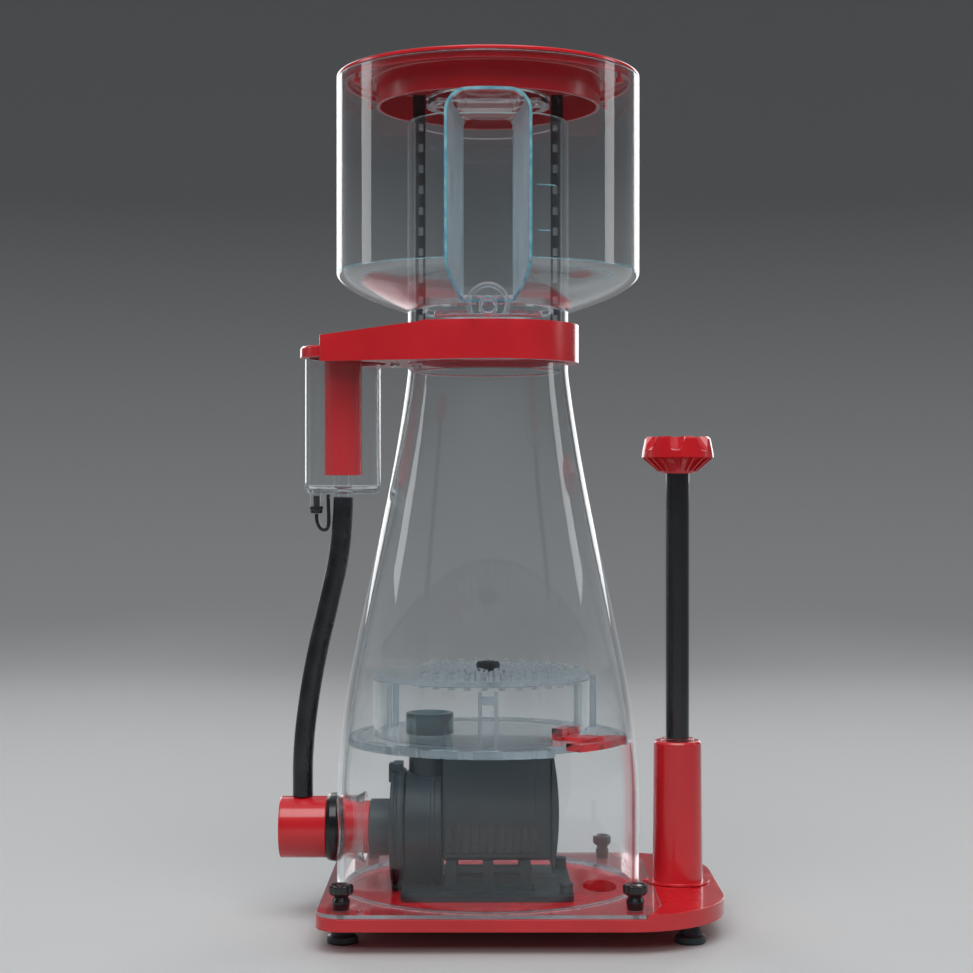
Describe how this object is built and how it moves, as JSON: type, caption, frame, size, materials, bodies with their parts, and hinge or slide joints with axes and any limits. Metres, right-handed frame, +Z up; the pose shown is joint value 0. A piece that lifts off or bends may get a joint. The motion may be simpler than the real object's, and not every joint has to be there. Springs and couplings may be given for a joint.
{
  "type": "protein skimmer",
  "caption": "In-sump protein skimmer with a clear cone body on a red base, an inside needle-wheel pump, an air silencer, a height-regulated outlet and a lidded collection cup.",
  "frame": {"origin": "centre of the bounding box at the feet's underside", "axes": "+X towards the outlet pipe, +Y away from the side with the cup's drain niche, +Z up"},
  "size_m": [0.281, 0.202, 0.5426],
  "materials": {
    "red_acrylic": "gloss",
    "clear_acrylic": "clear",
    "pump_plastic": "satin",
    "smoke_plastic": "translucent",
    "black_plastic": "gloss",
    "rubber": "gloss",
    "foot_rubber": "satin",
    "clear_silicone": "translucent",
    "ceramic": "polished",
    "ferrite_magnet": "matte",
    "core_laminations": "satin",
    "copper_winding": "satin",
    "stainless_steel": "polished"
  },
  "bodies": {
    "body": {"base_plate": "red_acrylic", "outlet_duct": "red_acrylic", "intake_venturi": "red_acrylic", "collar_bracket": "red_acrylic", "silencer_cap": "red_acrylic", "outlet_pipe": "red_acrylic", "body_flange": "clear_acrylic", "body_cone": "clear_acrylic", "body_inlet_port": "clear_acrylic", "diffuser_ledge": "clear_acrylic", "diffuser_wall": "clear_acrylic", "diffuser_plate": "clear_acrylic", "silencer_chamber": "clear_acrylic", "silencer_standpipe": "clear_acrylic", "volute_cover": "pump_plastic", "volute_case": "pump_plastic", "motor_housing": "pump_plastic", "motor_end_cap": "pump_plastic", "pump_stand": "pump_plastic", "pump_outlet_pipe": "smoke_plastic", "cable_gland": "black_plastic", "diffuser_knob": "black_plastic", "intake_grommet": "rubber", "volute_oring": "rubber", "shaft_bush_front": "rubber", "shaft_bush_rear": "rubber", "air_hose": "rubber", "foot_1": "foot_rubber", "foot_2": "foot_rubber", "foot_3": "foot_rubber", "foot_4": "foot_rubber", "flange_gasket": "clear_silicone", "rotor_shaft": "ceramic", "stator_core": "core_laminations", "stator_coil": "copper_winding", "bracket_screw": "stainless_steel"},
    "neck_seal": {"neck_oring": "rubber"},
    "cup": {"cup_shell": "clear_acrylic", "riser_tube": "clear_acrylic"},
    "wiper": {"wiper_carrier": "clear_acrylic", "wiper_blade_left": "black_plastic", "wiper_blade_right": "black_plastic"},
    "lid": {"lid": "red_acrylic"},
    "outlet_valve": {"outlet_knob": "red_acrylic", "outlet_shaft": "black_plastic", "outlet_gate": "black_plastic"},
    "rotor": {"rotor_magnet": "ferrite_magnet", "needle_wheel": "red_acrylic"},
    "lock": {"plate_lock": "red_acrylic"},
    "plug": {"drain_plug": "rubber", "drain_plug_tether": "rubber"},
    "screw_front_left": {"thumbscrew_front_left": "black_plastic"},
    "screw_front_right": {"thumbscrew_front_right": "black_plastic"},
    "screw_rear_left": {"thumbscrew_rear_left": "black_plastic"},
    "screw_rear_right": {"thumbscrew_rear_right": "black_plastic"}
  },
  "joints": [
    {"name": "cup_lift", "type": "slide", "parent": "body", "child": "neck_seal", "axis": [0, 0, 1], "range_m": [0, 0.06]},
    {"name": "cup_turn", "type": "hinge", "parent": "neck_seal", "child": "cup", "pos_m": [-0.0068, 0, 0.365], "axis": [0, 0, 1], "continuous": true},
    {"name": "wiper_turn", "type": "hinge", "parent": "cup", "child": "wiper", "pos_m": [-0.0068, 0, 0.525], "axis": [0, 0, 1], "continuous": true},
    {"name": "lid_lift", "type": "slide", "parent": "wiper", "child": "lid", "axis": [0, 0, 1], "range_m": [0, 0.05]},
    {"name": "valve_turn", "type": "hinge", "parent": "body", "child": "outlet_valve", "pos_m": [0.1155, 0, 0.2], "axis": [0, 0, 1], "range_deg": [-90, 90]},
    {"name": "rotor_spin", "type": "hinge", "parent": "body", "child": "rotor", "pos_m": [-0.0168, 0, 0.0593], "axis": [1, 0, 0], "continuous": true},
    {"name": "plate_lock_turn", "type": "hinge", "parent": "body", "child": "lock", "pos_m": [-0.0068, 0, 0.119], "axis": [0, 0, 1], "range_deg": [-10, 0]},
    {"name": "plug_pull", "type": "slide", "parent": "body", "child": "plug", "axis": [0, 0, -1], "range_m": [0, 0.012]},
    {"name": "thumbscrew_front_left_turn", "type": "hinge", "parent": "body", "child": "screw_front_left", "pos_m": [-0.0953, -0.0865, 0.03], "axis": [0, 0, 1], "continuous": true},
    {"name": "thumbscrew_front_right_turn", "type": "hinge", "parent": "body", "child": "screw_front_right", "pos_m": [0.0817, -0.0865, 0.03], "axis": [0, 0, 1], "continuous": true},
    {"name": "thumbscrew_rear_left_turn", "type": "hinge", "parent": "body", "child": "screw_rear_left", "pos_m": [-0.0898, 0.081, 0.03], "axis": [0, 0, 1], "continuous": true},
    {"name": "thumbscrew_rear_right_turn", "type": "hinge", "parent": "body", "child": "screw_rear_right", "pos_m": [0.0762, 0.081, 0.03], "axis": [0, 0, 1], "continuous": true}
  ]
}
